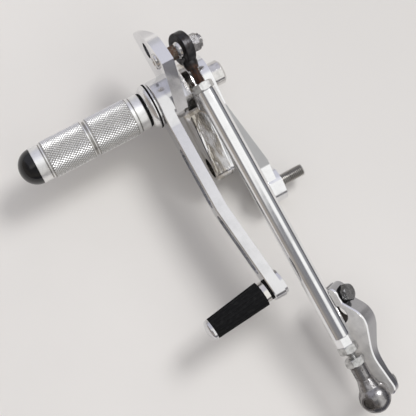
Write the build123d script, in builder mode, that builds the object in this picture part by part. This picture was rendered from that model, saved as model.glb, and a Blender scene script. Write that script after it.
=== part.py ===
"""Right-hand motorbike rear set: fixed footpeg, gear lever, shift rod and gearbox crank.

X points outboard along the footpeg, Y forward along the gear lever and Z up. The origin lies on the frame
bolt's axis, on the face of the mounting bracket that bolts against the motorbike's frame. All sizes in mm.
"""

import os
from math import atan2, cos, degrees, hypot, radians, sin, sqrt, tan

from build123d import *

# Fits and clearances
running_gap = 0.05  # radial, between a journal and its bush
ball_gap = 0.3  # radial, between a ball and its socket
side_gap = 0.2  # end float of the lever hub between its washers
bolt_gap = 0.2  # radial, around a fastener in a plain hole
seat_gap = 0.05  # radial, between parts that slide together and stay put
end_float = 0.5  # room left at the bottom of a blind hole
turned_edge = 0.5  # chamfer on turned ends

# Fasteners
m10, m10_head, m10_head_height, m10_socket = 10.0, 16.0, 10.0, 8.0
m8, m8_head, m8_socket = 8.0, 13.0, 6.0
m6, m6_head, m6_head_height, m6_socket = 6.0, 10.0, 6.0, 5.0
m6_flats, m6_nut_height = 10.0, 5.0
rod_nut_flats = 11.5  # lock nuts on the shift rod
nylon_long, nylon_radius = 1.5, 4.4  # collar of a self-locking nut
socket_depth_share = 0.5  # of the head's height
bolt_over = 1.0  # thread standing out of a nut

# Mounting bracket
pivot_back = 79.0  # from the frame bolt back to the lever pivot
pivot_up = 26.0  # from the frame bolt up to the lever pivot
pad_radius, pad_thick = 12.0, 13.0
pad_step = 3.2  # the pad stands inboard of the arm by this much
arm_end_radius = 10.3  # the arm's end, a little lower than the pad
boss_radius = 16.0
boss_thick = 17.0
ramp_foot = 15.0  # where the sloping arm meets the pad, behind the frame bolt
ramp_run = 42.0  # length of the slope
arm_web = 13.0
lug_forward = 50.0  # front lug, from the pivot
lug_drop = 21.0
lug_radius = 10.0
lug_thick = 13.0
lug_step = 6.5  # the lug's face stands outboard of the boss by this much
lug_clear = 19.5  # bare radius round the pivot outboard of the boss
lug_counterbore, lug_counterbore_depth = 14.0, 6.0
bracket_round = 2.0
frame_bolt_reach = 18.0  # thread standing inboard of the pad
frame_head_height = 5.0  # low head, clear of the shift rod
frame_shank_radius, frame_shank_over = 3.6, 0.1  # waisted shank through the pad and a little past it
frame_washer_radius, frame_washer_thick = 8.0, 1.6

# Pivot
spindle_radius = 7.0
bush_wall = 2.0
collar_flats, collar_thick = 24.0, 4.0
washer_radius, washer_thick = 13.5, 0.8
hub_radius, hub_length = 15.0, 16.5

# Gear lever
link_thick = 7.7  # fan-shaped linkage arm, at the inboard end of the hub
link_reach, link_angle = 34.3, 119.0  # rod eye hole from the pivot
link_step = 26.0  # angle between the two rod eye holes
fan_radius = 46.0
fan_front = (-10.0, 44.0)  # corners of the fan from the pivot, (forward, up)
fan_rear = (-45.0, 9.0)
fan_heel = (-46.0, 3.0)
fan_bevel_run, fan_edge = 15.0, 1.0  # the fan's rear end is bevelled on its inboard side, down to this edge
fan_corner = 2.0
link_counterbore_depth = 4.5
toe_thick = 7.5
toe_half_width = 8.5
toe_blend = 18.0
set_in_from, set_in_run, set_in_angle = 78.0, 58.0, 6.0  # the arm's outer part leans inboard
toe_boss_thick = 9.5
pocket_rim, pocket_depth = 2.8, 3.2
pocket_rib = 5.0  # rib left between the two pockets, at the bend
lever_edge = 0.6

# Toe peg
toe_ring_section, toe_ring_radius = 0.7, 6.3
toe_collar_radius, toe_collar_long = 7.0, 3.8
rubber_long, rubber_big, rubber_small = 37.5, 8.3, 7.0
rubber_ribs, rib_depth = 18, 0.55
toe_core_radius = 4.6
toe_cap_long, toe_cap_skirt = 4.5, 1.2
toe_thread_long = 6.5

# Footpeg
base_flange_radius, base_flange_thick = 15.0, 2.6
base_neck_radius, base_long = 10.6, 6.2
ring_big_radius, ring_big_section = 14.5, 0.65
ring_small_radius, ring_small_section = 10.8, 0.6
barrel_plain_radius, barrel_knurl_radius = 11.8, 12.6
barrel_neck_long = 9.7  # plain ring at the inboard end
knurl_long = 28.0  # each of the two knurled bands
knurl_groove_long, knurl_groove_radius = 3.05, 11.7
barrel_end_long = 7.9  # plain ring at the outboard end
turned_groove, turned_groove_depth = 0.9, 0.5
cap_radius, cap_dome_long = 11.7, 11.1
cap_spigot_radius, cap_spigot_long = 6.0, 8.0
footpeg_bolt_grip = 26.0  # thread length inside the barrel

# Shift rod
eye_inset = 10.4  # rod eye centre, inboard of the lever's inner face
eye_ball_radius, eye_ball_width = 6.35, 9.0
eye_radius, eye_width = 10.5, 6.4
eye_turn = 14.0  # the eye leans this far on its ball, turned about the shift rod with its outer face up
eye_neck_radius, eye_neck_start, eye_neck_end = 4.6, 8.0, 17.0
eye_spacer_radius = 4.5
eye_edge = 0.8
ball_inset, ball_forward, ball_drop = 15.2, 226.8, 0.8  # ball joint, from the lever's inner face and pivot
upper_nut_start = 24.0  # along the line from rod eye to ball joint
rod_radius = 6.25
rod_hex_flats, rod_hex_long = 10.0, 6.0
rod_tap_deep = 18.0
stud_bare = 4.1  # thread in view between the two lower lock nuts
socket_nut_back = 23.5  # socket lock nut's far face, short of the ball's centre
socket_neck_radius, socket_neck_flare = 5.2, 7.0
socket_flare_start, socket_flare_end = 13.5, 7.0  # short of the ball's centre
joint_ball_radius = 5.5
socket_radius = 10.0
socket_out, socket_in = 8.8, 7.2  # its two flats, from the ball's centre
socket_mouth = 4.8
joint_turn = 40.0  # the ball joint's axis is turned up about the shift rod
disc_radius, disc_thick, disc_sunk = 3.5, 0.8, 1.0  # grease cap, sunk in the outer flat
socket_thread_deep = 11.0

# Crank
crank_reach = 53.5  # gearbox shaft bore to ball stud
crank_face_inset = 11.0  # crank's outer face, below the ball's centre
crank_offset = 2.2  # the bore lies to one side of the line through the ball stud along the rod
shaft_radius = 6.0
clamp_radius, clamp_thick = 9.5, 12.0
clamp_ear_long, clamp_ear_half, clamp_ear_round = 18.2, 6.7, 5.0
clamp_slit = 1.6
belly_radius, belly_forward = 13.4, 8.5  # widest part of the plate, ahead of the bore
waist_radius, waist_forward, waist_round = 5.5, 31.0, 25.0
crank_arm_thick = 7.0
crank_step_start, crank_step_end = 16.0, 30.0  # the clamp thins to the arm between these, ahead of the bore
crank_end_half, crank_end_long, crank_end_round = 8.8, 6.2, 5.4  # rounded end round the ball stud
crank_end_thick = 5.0
crank_edge = 0.8
pinch_back = 10.6  # pinch bolt behind the shaft's axis
pinch_washer_radius, pinch_washer_thick = 5.6, 1.4
pinch_flats, pinch_head_height = 10.0, 4.0
stud_collar_radius, stud_collar_long = 4.6, 2.0
stud_neck_radius = 2.9
stud_washer_radius, stud_washer_thick = 6.0, 1.2

# Stations along X
boss_in = pad_thick
boss_out = boss_in + boss_thick
lever_in = boss_out + collar_thick + washer_thick + side_gap
hub_out = lever_in + hub_length
outer_washer_in = hub_out + side_gap
base_in = outer_washer_in + washer_thick
barrel_in = base_in + base_long
knurl_in = barrel_in + barrel_neck_long
knurl_mid = knurl_in + knurl_long
knurl_out = knurl_mid + knurl_groove_long + knurl_long
barrel_out = knurl_out + barrel_end_long

# Pivot and link centres
pivot_y, pivot_z = -pivot_back, pivot_up


def pivot_face(x):
    """Plane across the pivot axis at a station, with forward and up as its own directions."""
    return Plane(origin=(x, pivot_y, pivot_z), x_dir=(0, 1, 0), z_dir=(1, 0, 0))


pivot_lathe = Plane(origin=(0, pivot_y, pivot_z), x_dir=(1, 0, 0), z_dir=(0, -1, 0))


def link_hole(angle):
    """Rod eye hole's centre from the pivot, (forward, up)."""
    return link_reach * cos(radians(angle)), link_reach * sin(radians(angle))


eye_forward, eye_up = link_hole(link_angle)
eye_centre = Vector(lever_in - eye_inset, pivot_y + eye_forward, pivot_z + eye_up)
ball_centre = Vector(lever_in - ball_inset, pivot_y + ball_forward, pivot_z - ball_drop)
rod_length = (ball_centre - eye_centre).length
rod_dir = (ball_centre - eye_centre).normalized()
rod_across = (Vector(1, 0, 0) - rod_dir * rod_dir.X).normalized()
rod_up = rod_across.cross(rod_dir)
rod_lathe = Plane(origin=eye_centre, x_dir=rod_dir, z_dir=rod_across)
eye_lathe = Plane(origin=(0, eye_centre.Y, eye_centre.Z), x_dir=(1, 0, 0), z_dir=(0, -1, 0))


def turned_across(angle):
    """Direction across the shift rod, turned up about it from straight outboard."""
    return rod_across * cos(radians(angle)) + rod_up * sin(radians(angle))


eye_axis = turned_across(eye_turn)
joint_axis = turned_across(joint_turn)
eye_face = Plane(origin=eye_centre, x_dir=rod_dir, z_dir=eye_axis)
socket_face = Plane(origin=ball_centre, x_dir=rod_dir, z_dir=joint_axis)
eye_cross_lathe = Plane(origin=eye_centre, x_dir=eye_axis, z_dir=rod_dir)
joint_lathe = Plane(origin=ball_centre, x_dir=joint_axis, z_dir=rod_dir)

# Stations along the shift rod: each end of the rod follows from its lock nuts
rod_start = upper_nut_start + m6_nut_height + seat_gap
eye_thread_end = rod_start + rod_tap_deep - end_float
socket_nut_end = rod_length - socket_nut_back
rod_hex_end = socket_nut_end - 2 * m6_nut_height - stud_bare
rod_end = rod_hex_end - rod_hex_long
stud_start = rod_hex_end - rod_tap_deep + end_float


def rod_face(station):
    """Plane across the shift rod at a distance from the rod eye."""
    return Plane(origin=eye_centre + rod_dir * station, x_dir=rod_across, z_dir=rod_dir)


# Set-in part of the toe arm: its own directions, and the toe axis on the outboard face
arm_in = hub_out - toe_thick
lean = radians(set_in_angle)
toe_out = Vector(cos(lean), sin(lean), 0)
toe_along = Vector(-sin(lean), cos(lean), 0)
bend_in = Vector(arm_in, pivot_y + set_in_from, pivot_z)
toe_centre = bend_in + toe_out * toe_thick + toe_along * set_in_run
toe_face = Plane(origin=toe_centre, x_dir=toe_along, z_dir=toe_out)
toe_lathe = Plane(origin=toe_centre, x_dir=toe_out, z_dir=-toe_along)

# Crank: it lies along the rod, across the ball joint's axis; local x runs from the shaft bore to the ball stud
crank_way = joint_axis.cross(rod_dir)
stud_foot = ball_centre - joint_axis * crank_face_inset
bore_centre = stud_foot - rod_dir * crank_reach - crank_way * crank_offset
crank_side = Plane(origin=bore_centre, x_dir=rod_dir, z_dir=-crank_way)


def crank_face(depth):
    """Plane of the crank at a depth below its outer face, centred on the shaft bore."""
    return Plane(origin=bore_centre - joint_axis * depth, x_dir=rod_dir, z_dir=joint_axis)


# Shared shapes, added to the part in hand
def turn(lathe, outline, mode=Mode.ADD):
    """Revolve an outline of (station, radius) points about the x direction of a plane."""
    with BuildSketch(lathe) as section:
        with BuildLine():
            Polyline(*outline, close=True)
        make_face()
    revolve(section.sketch, axis=Axis(lathe.origin, lathe.x_dir), mode=mode)


def tube(lathe, start, end, outer, inner=0.0, mode=Mode.ADD):
    """Plain turned tube or rod between two stations."""
    turn(lathe, [(start, inner), (end, inner), (end, outer), (start, outer)], mode)


def hex_bar(face, flats, length):
    """Hexagonal bar standing on a plane."""
    with BuildSketch(face) as hexagon:
        RegularPolygon(flats / 2, 6, major_radius=False)
    extrude(hexagon.sketch, amount=length)


def hex_nut(face, lathe, start, flats, height, bore):
    """Hex nut with turned chamfers, from a station along its lathe."""
    corner = flats / sqrt(3)
    crown = (corner - flats / 2) * 0.9
    hex_bar(face, flats, height)
    end = start + height
    turn(lathe, [(start, bore), (end, bore), (end, corner - crown), (end - crown, corner),
                 (start + crown, corner), (start, corner - crown)], Mode.INTERSECT)


def cap_screw(lathe, seat, end, size, head, head_height, socket_size, way):
    """Socket head cap screw: head behind the seat, shank to the end; way is +1 or -1 along the lathe."""
    edge = 0.08 * head
    top = seat - way * head_height
    turn(lathe, [(top, 0), (top, head / 2 - edge), (top + way * edge, head / 2), (seat, head / 2),
                 (seat, size / 2), (end - way * edge, size / 2), (end, size / 2 - edge), (end, 0)])
    face = Plane(origin=lathe.origin + lathe.x_dir * top, x_dir=lathe.z_dir, z_dir=lathe.x_dir * way)
    with BuildSketch(face) as drive:
        RegularPolygon(socket_size / 2, 6, major_radius=False)
    extrude(drive.sketch, amount=head_height * socket_depth_share, mode=Mode.SUBTRACT)


def ring(lathe, station, radius, section):
    """O-ring of round section centred on a station."""
    with BuildSketch(lathe) as round_section:
        with Locations((station, radius)):
            Circle(section)
    revolve(round_section.sketch, axis=Axis(lathe.origin, lathe.x_dir))


def ball(lathe, station, radius, mode=Mode.ADD):
    """Sphere turned about a lathe's axis, centred on a station."""
    with BuildSketch(lathe) as half_round:
        with BuildLine():
            arc = CenterArc((station, 0), radius, 0, 180)
            Line(arc @ 1, arc @ 0)
        make_face()
    revolve(half_round.sketch, axis=Axis(lathe.origin, lathe.x_dir), mode=mode)


os.makedirs("parts", exist_ok=True)

# Mounting bracket: seen along X the arm is the hull of boss and pad, seen along Z it slopes between them
with BuildPart() as mounting_bracket:
    with BuildSketch(Plane.YZ):
        with Locations((pivot_y, pivot_z)):
            Circle(boss_radius)
        Circle(arm_end_radius)
        make_hull()
    extrude(amount=boss_out)
    arm_top = -ramp_foot - ramp_run
    with BuildSketch(Plane.XY):
        with BuildLine():
            Polyline((pad_step, pad_radius), (pad_thick, pad_radius), (pad_thick, -ramp_foot),
                     (boss_in + arm_web, arm_top), (boss_out, arm_top - boss_thick + arm_web),
                     (boss_out, pivot_y - boss_radius - 1), (boss_in, pivot_y - boss_radius - 1),
                     (boss_in, arm_top), (pad_step, -ramp_foot), close=True)
        make_face()
    extrude(amount=pivot_up + boss_radius + pad_radius, both=True, mode=Mode.INTERSECT)
    tube(Plane.XZ, 0, pad_thick, pad_radius)
    lug_in = boss_out + lug_step - lug_thick
    with BuildSketch(pivot_face(lug_in)):
        Circle(boss_radius - bracket_round)
        with Locations((lug_forward, -lug_drop)):
            Circle(lug_radius)
        make_hull()
    extrude(amount=boss_out - lug_in)
    with BuildSketch(pivot_face(boss_out)) as lug_pad:
        Circle(boss_radius - bracket_round)
        with Locations((lug_forward, -lug_drop)):
            Circle(lug_radius)
        make_hull()
        Circle(lug_clear, mode=Mode.SUBTRACT)
    extrude(amount=lug_step)
    chamfer(faces().sort_by(Axis.X)[-1].edges(), bracket_round / 3)
    with Locations(pivot_face(boss_out)):
        Hole(m10 / 2 + bolt_gap)
    with Locations(Plane.YZ):
        Hole(m8 / 2 + bolt_gap)
    with Locations(pivot_face(boss_out + lug_step)):
        with Locations((lug_forward, -lug_drop)):
            CounterBoreHole(m8 / 2 + bolt_gap, lug_counterbore / 2, lug_counterbore_depth)

with BuildPart() as frame_bolt:
    frame_lathe = Plane.XZ
    frame_seat = pad_thick + frame_washer_thick
    cap_screw(frame_lathe, frame_seat, -frame_bolt_reach, m8, m8_head, frame_head_height, m8_socket, -1)
    tube(frame_lathe, -frame_shank_over, frame_seat, m8, frame_shank_radius, mode=Mode.SUBTRACT)

with BuildPart() as frame_washer:
    tube(Plane.XZ, pad_thick, frame_seat, frame_washer_radius, m8 / 2 + bolt_gap)

# Pivot: the spindle's hex collar stands on the boss and its journal carries the lever's bush
with BuildPart() as pivot_spindle:
    hex_bar(pivot_face(boss_out), collar_flats, collar_thick)
    tube(pivot_lathe, boss_out, base_in, spindle_radius)
    tube(pivot_lathe, boss_out, base_in, m10 / 2 + bolt_gap, mode=Mode.SUBTRACT)

with BuildPart() as inner_thrust_washer:
    inner_washer_in = boss_out + collar_thick
    tube(pivot_lathe, inner_washer_in, inner_washer_in + washer_thick, washer_radius,
         spindle_radius + seat_gap)

with BuildPart() as outer_thrust_washer:
    tube(pivot_lathe, outer_washer_in, base_in, washer_radius, spindle_radius + seat_gap)

with BuildPart() as footpeg_bolt:
    cap_screw(pivot_lathe, boss_in, barrel_in + footpeg_bolt_grip, m10, m10_head, m10_head_height, m10_socket,
              1)

# Footpeg: flared base, barrel with two bands left for the knurl, and a pressed-in domed cap
ring_big_at = base_in + base_flange_thick / 2
ring_small_at = barrel_in + ring_small_section
with BuildPart() as footpeg_base:
    with BuildSketch(pivot_lathe):
        with BuildLine():
            start = (base_in, m10 / 2 + bolt_gap)
            flange = Polyline(start, (base_in, base_flange_radius),
                              (base_in + base_flange_thick, base_flange_radius))
            flare = RadiusArc(flange @ 1, (barrel_in, base_neck_radius), base_long)
            Polyline(flare @ 1, (barrel_in, m10 / 2 + bolt_gap), start)
        make_face()
    revolve(axis=Axis(pivot_lathe.origin, pivot_lathe.x_dir))
    tube(pivot_lathe, ring_big_at - ring_big_section, ring_big_at + ring_big_section,
         base_flange_radius + 1, ring_big_radius - ring_big_section, mode=Mode.SUBTRACT)

with BuildPart() as pivot_o_ring:
    ring(pivot_lathe, ring_big_at, ring_big_radius, ring_big_section)

with BuildPart() as footpeg_barrel:
    seat = ring_small_at + ring_small_section
    spigot_end = barrel_out - cap_spigot_long - 1
    groove_in, groove_out = knurl_mid, knurl_mid + knurl_groove_long
    edge = turned_groove_depth
    turn(pivot_lathe, [
        (barrel_in, m10 / 2 + seat_gap), (barrel_in, ring_small_radius - ring_small_section),
        (seat, ring_small_radius - ring_small_section), (seat, barrel_plain_radius - edge),
        (seat + edge, barrel_plain_radius), (knurl_in, barrel_plain_radius), (knurl_in, barrel_knurl_radius),
        (groove_in, barrel_knurl_radius), (groove_in, knurl_groove_radius), (groove_out, knurl_groove_radius),
        (groove_out, barrel_knurl_radius), (knurl_out, barrel_knurl_radius), (knurl_out, barrel_plain_radius),
        (barrel_out, barrel_plain_radius), (barrel_out, cap_spigot_radius + seat_gap),
        (spigot_end, cap_spigot_radius + seat_gap), (spigot_end, m10 / 2 + seat_gap)])
    for station in (knurl_in - 3 * turned_groove, knurl_out + turned_groove):
        tube(pivot_lathe, station, station + turned_groove, barrel_plain_radius + 1,
             barrel_plain_radius - turned_groove_depth, mode=Mode.SUBTRACT)

with BuildPart() as peg_o_ring:
    ring(pivot_lathe, ring_small_at, ring_small_radius, ring_small_section)

with BuildPart() as footpeg_end_cap:
    with BuildSketch(pivot_lathe):
        with BuildLine():
            root = (barrel_out - cap_spigot_long, 0)
            body = Polyline(root, (barrel_out - cap_spigot_long, cap_spigot_radius),
                            (barrel_out, cap_spigot_radius), (barrel_out, cap_radius))
            dome = EllipticalCenterArc((barrel_out, 0), cap_dome_long, cap_radius)
            Line(dome @ 0, root)
        make_face()
    revolve(axis=Axis(pivot_lathe.origin, pivot_lathe.x_dir))

# Gear lever: hub, toe arm cut from a side outline and a plan outline, fan-shaped linkage arm
with BuildPart() as gear_lever:
    toe_reach = toe_centre.Y - pivot_y
    arm_tip = bend_in + toe_along * (set_in_run + 2 * toe_half_width)
    with BuildSketch(pivot_face(arm_in - toe_half_width * 2)):
        Circle(hub_radius)
        with Locations((toe_reach / 2, 0)):
            Rectangle(toe_reach, 2 * toe_half_width)
        fillet(vertices().filter_by_position(Axis.X, 1, hub_radius), toe_blend)
        with Locations((toe_reach, 0)):
            Circle(toe_half_width)
    extrude(amount=toe_half_width * 2 + toe_thick)
    bend_out_y = bend_in.Y + toe_thick * tan(lean / 2)
    arm_end = arm_tip + toe_out * toe_thick
    with BuildSketch(Plane.XY):
        with BuildLine():
            hub_rear = pivot_y - hub_radius
            Polyline((arm_in, hub_rear), (arm_in, bend_in.Y), (arm_tip.X, arm_tip.Y), (arm_end.X, arm_end.Y),
                     (hub_out, bend_out_y), (hub_out, hub_rear), close=True)
        make_face()
    extrude(amount=pivot_z + hub_radius + 1, mode=Mode.INTERSECT)
    with BuildSketch(toe_face):
        Circle(toe_half_width)
    extrude(amount=-toe_boss_thick)
    with BuildSketch(pivot_face(lever_in)):
        Circle(hub_radius)
    extrude(amount=hub_length)
    with BuildSketch(pivot_face(lever_in)):
        with BuildLine():
            front_angle = atan2(fan_front[1], fan_front[0])
            tangent_angle = front_angle - atan2(sqrt(hypot(*fan_front) ** 2 - hub_radius ** 2), hub_radius)
            hub_front = (hub_radius * cos(tangent_angle), hub_radius * sin(tangent_angle))
            hub_heel = (-sqrt(hub_radius ** 2 - fan_heel[1] ** 2), fan_heel[1])
            front = Line(hub_front, fan_front)
            sweep = RadiusArc(front @ 1, fan_rear, -fan_radius)
            Polyline(sweep @ 1, fan_heel, hub_heel, (0, 0), hub_front)
        make_face()
        fillet(vertices().group_by(Axis.X)[0], fan_corner)
    extrude(amount=link_thick)
    with BuildSketch(Plane.XY.offset(pivot_z)):
        with BuildLine():
            bevel_y = pivot_y + fan_heel[0]
            Polyline((lever_in, bevel_y + fan_bevel_run), (lever_in + link_thick - fan_edge, bevel_y),
                     (lever_in + link_thick - fan_edge, bevel_y - 1), (lever_in - 1, bevel_y - 1),
                     (lever_in - 1, bevel_y + fan_bevel_run), close=True)
        make_face()
    extrude(amount=2 * fan_radius, mode=Mode.SUBTRACT)
    outer_face = faces().sort_by(Axis.X)[-1]
    set_in_face = faces().filter_by(GeomType.PLANE).sort_by_distance(toe_centre)[0]
    rim = outer_face.edges() + set_in_face.edges()
    bend = rim.filter_by(lambda edge: abs(edge.center().Y - bend_out_y) < 0.01)
    chamfer([edge for edge in rim if edge not in bend], lever_edge)
    with BuildSketch(pivot_face(hub_out)):
        pocket_start = hub_radius + toe_blend
        pocket_long = set_in_from - pocket_rib / 2 - pocket_start
        with Locations((pocket_start + pocket_long / 2, 0)):
            SlotOverall(pocket_long, 2 * (toe_half_width - pocket_rim))
    extrude(amount=-pocket_depth, mode=Mode.SUBTRACT)
    with BuildSketch(toe_face):
        far_long = set_in_run - pocket_rib / 2 - toe_half_width - pocket_rim
        with Locations((-toe_half_width - pocket_rim - far_long / 2, 0)):
            SlotOverall(far_long, 2 * (toe_half_width - pocket_rim))
    extrude(amount=-pocket_depth, mode=Mode.SUBTRACT)
    tube(pivot_lathe, lever_in, hub_out, spindle_radius + bush_wall + seat_gap, mode=Mode.SUBTRACT)
    with Locations(pivot_face(lever_in + link_thick)):
        with Locations(link_hole(link_angle), link_hole(link_angle + link_step)):
            CounterBoreHole(m6 / 2 + bolt_gap, m6_head / 2 + bolt_gap, link_counterbore_depth)
    with Locations(toe_face):
        Hole(m6 / 2 + seat_gap, toe_thread_long)

with BuildPart() as pivot_bush:
    tube(pivot_lathe, lever_in, hub_out, spindle_radius + bush_wall, spindle_radius + running_gap)

# Toe peg: threaded spindle, O-ring against the lever, ribbed rubber and domed end cap
collar_at = 2 * toe_ring_section
rubber_at = collar_at + toe_collar_long
cap_at = rubber_at + rubber_long
with BuildPart() as toe_peg_spindle:
    root = toe_ring_radius - toe_ring_section
    stud_end = end_float - toe_thread_long
    turn(toe_lathe, [(stud_end, 0), (stud_end, m6 / 2), (0, m6 / 2), (0, root), (collar_at, root),
                     (collar_at, toe_collar_radius - turned_edge),
                     (collar_at + turned_edge, toe_collar_radius), (rubber_at, toe_collar_radius),
                     (rubber_at, toe_core_radius), (cap_at, toe_core_radius), (cap_at, 0)])

with BuildPart() as toe_peg_o_ring:
    ring(toe_lathe, toe_ring_section, toe_ring_radius, toe_ring_section)

with BuildPart() as toe_peg_rubber:
    for depth, radius in ((rubber_at, rubber_big), (cap_at, rubber_small)):
        with BuildSketch(toe_face.offset(depth)):
            Circle(radius)
            with PolarLocations(radius + rib_depth * 0.4, rubber_ribs):
                Circle(rib_depth * 1.4, mode=Mode.SUBTRACT)
    loft()
    tube(toe_lathe, rubber_at, cap_at, toe_core_radius + seat_gap, mode=Mode.SUBTRACT)

with BuildPart() as toe_peg_cap:
    with BuildSketch(toe_lathe):
        with BuildLine():
            cap_root = (cap_at, 0)
            dome_at = cap_at + toe_cap_skirt
            cap_side = Polyline(cap_root, (cap_at, rubber_small), (dome_at, rubber_small))
            cap_dome = EllipticalCenterArc((dome_at, 0), toe_cap_long - toe_cap_skirt, rubber_small)
            Line(cap_dome @ 0, cap_root)
        make_face()
    revolve(axis=Axis(toe_lathe.origin, toe_lathe.x_dir))

# Rod eye on the linkage arm: cap screw from outboard, spacer, ball, washer and self-locking nut
eye_ball_out = eye_centre.X + eye_ball_width / 2
eye_ball_in = eye_centre.X - eye_ball_width / 2
eye_washer_in = eye_ball_in - stud_washer_thick
eye_nut_long = m6_nut_height + nylon_long
with BuildPart() as rod_eye_bolt:
    screw_seat = lever_in + link_thick - link_counterbore_depth
    screw_end = eye_washer_in - eye_nut_long - bolt_over
    cap_screw(eye_lathe, screw_seat, screw_end, m6, m6_head, m6_head_height, m6_socket, -1)

with BuildPart() as rod_eye_spacer:
    tube(eye_lathe, eye_ball_out, lever_in, eye_spacer_radius, m6 / 2 + bolt_gap)

with BuildPart() as rod_eye_ball:
    ball(eye_lathe, eye_centre.X, eye_ball_radius)
    tube(eye_lathe, eye_ball_in, eye_ball_out, eye_ball_radius + 1, mode=Mode.INTERSECT)
    tube(eye_lathe, eye_ball_in - 1, eye_ball_out + 1, m6 / 2 + seat_gap, mode=Mode.SUBTRACT)

with BuildPart() as rod_eye_washer:
    tube(eye_lathe, eye_washer_in, eye_ball_in, eye_spacer_radius, m6 / 2 + bolt_gap)

with BuildPart() as rod_eye_nut:
    nut_in = eye_washer_in - eye_nut_long
    hex_start = eye_washer_in - m6_nut_height
    nut_plane = Plane(origin=(hex_start, eye_centre.Y, eye_centre.Z), x_dir=(0, 1, 0), z_dir=(1, 0, 0))
    hex_nut(nut_plane, eye_lathe, hex_start, m6_flats, m6_nut_height, m6 / 2 + seat_gap)
    tube(eye_lathe, nut_in, hex_start, nylon_radius, m6 / 2 + seat_gap)

with BuildPart() as rod_eye_housing:
    with BuildSketch(eye_face):
        Circle(eye_radius)
    extrude(amount=eye_width / 2, both=True)
    fillet(edges().filter_by(GeomType.CIRCLE), eye_edge)
    turn(rod_lathe, [(eye_neck_start, 0), (eye_neck_start, eye_neck_radius), (eye_radius, eye_neck_radius),
                     (eye_neck_end, m6 / 2), (eye_thread_end, m6 / 2), (eye_thread_end, 0)])
    ball(eye_cross_lathe, 0, eye_ball_radius + ball_gap, mode=Mode.SUBTRACT)

with BuildPart() as upper_lock_nut:
    hex_nut(rod_face(upper_nut_start), rod_lathe, upper_nut_start, rod_nut_flats, m6_nut_height,
            m6 / 2 + seat_gap)

# Shift rod: round bar tapped at both ends, with a short hexagon for the spanner
with BuildPart() as shift_rod:
    end_radius = rod_radius - turned_edge
    turn(rod_lathe, [(rod_start, 0), (rod_start, end_radius), (rod_start + turned_edge, rod_radius),
                     (rod_end - turned_edge, rod_radius), (rod_end, end_radius), (rod_end, 0)])
    hex_bar(rod_face(rod_end), rod_hex_flats, rod_hex_long)
    tube(rod_lathe, rod_start, rod_start + rod_tap_deep, m6 / 2 + seat_gap, mode=Mode.SUBTRACT)
    tube(rod_lathe, rod_hex_end - rod_tap_deep, rod_hex_end, m6 / 2 + seat_gap, mode=Mode.SUBTRACT)

with BuildPart() as lower_lock_nut:
    hex_nut(rod_face(rod_hex_end), rod_lathe, rod_hex_end, rod_nut_flats, m6_nut_height, m6 / 2 + seat_gap)

with BuildPart() as socket_stud:
    tube(rod_lathe, stud_start, socket_nut_end + socket_thread_deep - end_float, m6 / 2)

with BuildPart() as socket_lock_nut:
    nut_start = socket_nut_end - m6_nut_height
    hex_nut(rod_face(nut_start), rod_lathe, nut_start, rod_nut_flats, m6_nut_height, m6 / 2 + seat_gap)

# Ball joint: round socket on the rod's stud, ball stud bolted through the crank
with BuildPart() as ball_socket:
    disc_in = socket_out - disc_sunk - disc_thick
    ball(joint_lathe, 0, socket_radius)
    tube(joint_lathe, -socket_in, socket_out, socket_radius + 1, mode=Mode.INTERSECT)
    turn(rod_lathe, [(socket_nut_end, 0), (socket_nut_end, socket_neck_radius - turned_edge),
                     (socket_nut_end + turned_edge, socket_neck_radius),
                     (rod_length - socket_flare_start, socket_neck_radius),
                     (rod_length - socket_flare_end, socket_neck_flare), (rod_length - socket_flare_end, 0)])
    ball(joint_lathe, 0, joint_ball_radius + ball_gap, mode=Mode.SUBTRACT)
    with BuildSketch(socket_face):
        Circle(socket_mouth)
    extrude(amount=-socket_in, mode=Mode.SUBTRACT)
    with BuildSketch(socket_face.offset(disc_in)):
        Circle(disc_radius)
    extrude(amount=disc_sunk + disc_thick, mode=Mode.SUBTRACT)
    tube(rod_lathe, socket_nut_end, socket_nut_end + socket_thread_deep, m6 / 2 + seat_gap,
         mode=Mode.SUBTRACT)

with BuildPart() as socket_disc:
    with BuildSketch(socket_face.offset(disc_in)):
        Circle(disc_radius - seat_gap)
    extrude(amount=disc_thick)

crank_eye_in = -crank_face_inset - crank_end_thick
stud_nut_in = crank_eye_in - stud_washer_thick - m6_nut_height
with BuildPart() as ball_stud:
    ball(joint_lathe, 0, joint_ball_radius)
    collar_out = stud_collar_long - crank_face_inset
    turn(joint_lathe, [(0, 0), (0, stud_neck_radius), (collar_out + turned_edge, stud_neck_radius),
                       (collar_out, stud_collar_radius), (-crank_face_inset, stud_collar_radius),
                       (-crank_face_inset, m6 / 2), (stud_nut_in - bolt_over, m6 / 2),
                       (stud_nut_in - bolt_over, 0)])

with BuildPart() as stud_washer:
    tube(joint_lathe, crank_eye_in - stud_washer_thick, crank_eye_in, stud_washer_radius, m6 / 2 + bolt_gap)

with BuildPart() as stud_nut:
    hex_nut(socket_face.offset(stud_nut_in), joint_lathe, stud_nut_in, m6_flats, m6_nut_height,
            m6 / 2 + seat_gap)

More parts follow.
